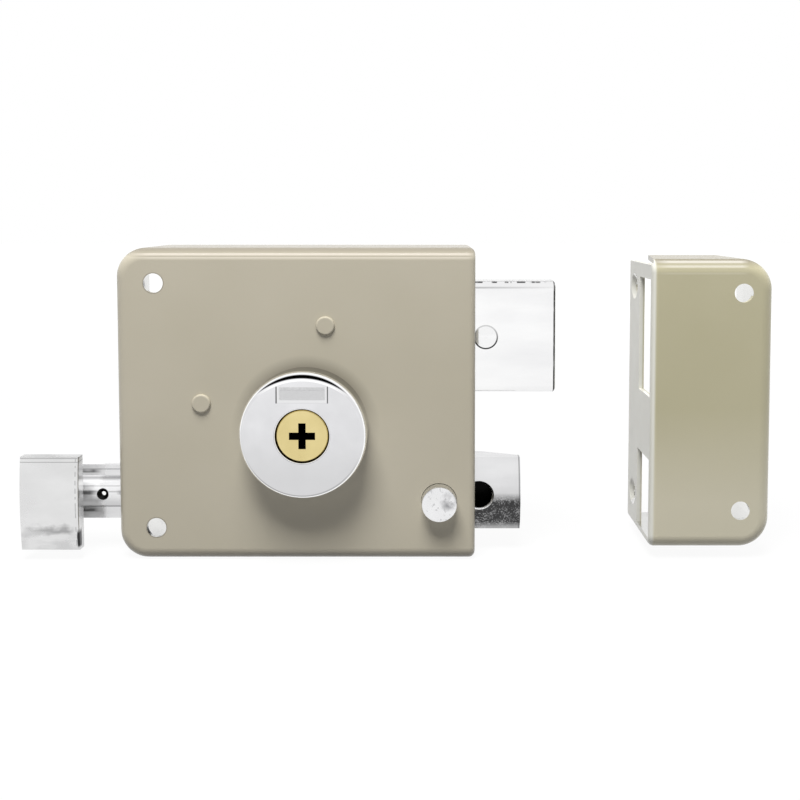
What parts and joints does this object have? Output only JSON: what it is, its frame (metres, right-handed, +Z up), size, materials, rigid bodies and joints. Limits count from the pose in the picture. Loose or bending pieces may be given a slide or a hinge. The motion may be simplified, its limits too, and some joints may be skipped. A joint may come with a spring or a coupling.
{
  "type": "rim box lock",
  "caption": "Surface-mounted rim lock: pressed case, cross-key cylinder, rack-driven deadbolt, sprung latch with a pull and snib button, and a separate strike box.",
  "frame": {"origin": "on the key cylinder's axis, in the mounting plane at the back of the case", "axes": "+X from the pull towards the bolts and the strike, +Y from the room through the case into the door, +Z up"},
  "size_m": [0.2203, 0.039, 0.092],
  "materials": {
    "beige_enamel": "gloss enamel",
    "zinc_bolt": "bright zinc, scuffed",
    "zinc_plate": "zinc plated sheet",
    "chrome": "chromed",
    "polished_steel": "polished",
    "brass": "machined",
    "steel": "plain steel",
    "spring_steel": "tempered"
  },
  "bodies": {
    "case": {"case_shell": "beige_enamel", "back_plate": "zinc_plate", "back_plate_screws": "steel", "bolt_guide_post": "beige_enamel", "lever_post": "beige_enamel", "post_clips": "spring_steel", "cylinder_body": "brass", "drum_cover": "chrome", "cylinder_screws": "steel", "driver_pins": "brass", "pin_springs": "spring_steel", "spring_bracket": "zinc_plate", "bracket_rivets": "steel", "latch_spring": "spring_steel", "button_spring": "spring_steel", "strike_box": "beige_enamel"},
    "plug": {"cylinder_plug": "brass", "key_pins": "brass", "plug_clip": "spring_steel", "drive_pinion": "steel"},
    "bolt": {"deadbolt": "zinc_bolt", "deadbolt_tail": "zinc_plate", "deadbolt_rivet": "zinc_bolt"},
    "latch": {"latch_bolt": "zinc_bolt", "latch_rod": "zinc_bolt", "rod_pins": "steel", "lever_pin": "steel", "handle_grip": "zinc_bolt", "grip_rivets": "steel", "spring_guide": "steel"},
    "lever": {"latch_lever": "zinc_plate"},
    "snib": {"snib_button": "polished_steel", "button_clip": "spring_steel"}
  },
  "joints": [
    {"name": "plug_turn", "type": "hinge", "parent": "case", "child": "plug", "pos_m": [0, -0.03, 0], "axis": [0, -1, 0], "range_deg": [0, 360]},
    {"name": "deadbolt_slide", "type": "slide", "parent": "case", "child": "bolt", "axis": [-1, 0, 0], "range_m": [0, 0.02356]},
    {"name": "latch_slide", "type": "slide", "parent": "case", "child": "latch", "axis": [-1, 0, 0], "range_m": [0, 0.012], "stiffness_N_per_m": 350, "springref_m": -0.015, "deforming": ["latch_spring"]},
    {"name": "lever_turn", "type": "hinge", "parent": "case", "child": "lever", "pos_m": [-0.0305, -0.0127, 0.0076], "axis": [0, 1, 0], "range_deg": [0, 23.47]},
    {"name": "snib_press", "type": "slide", "parent": "case", "child": "snib", "axis": [0, 1, 0], "range_m": [0, 0.003], "stiffness_N_per_m": 600, "springref_m": -0.001, "deforming": ["button_spring"]}
  ],
  "couplings": [
    {"joint": "plug_turn", "follows": "deadbolt_slide", "rad_per_m": 266.67},
    {"joint": "lever_turn", "follows": "latch_slide", "rad_per_m": 34.117}
  ]
}
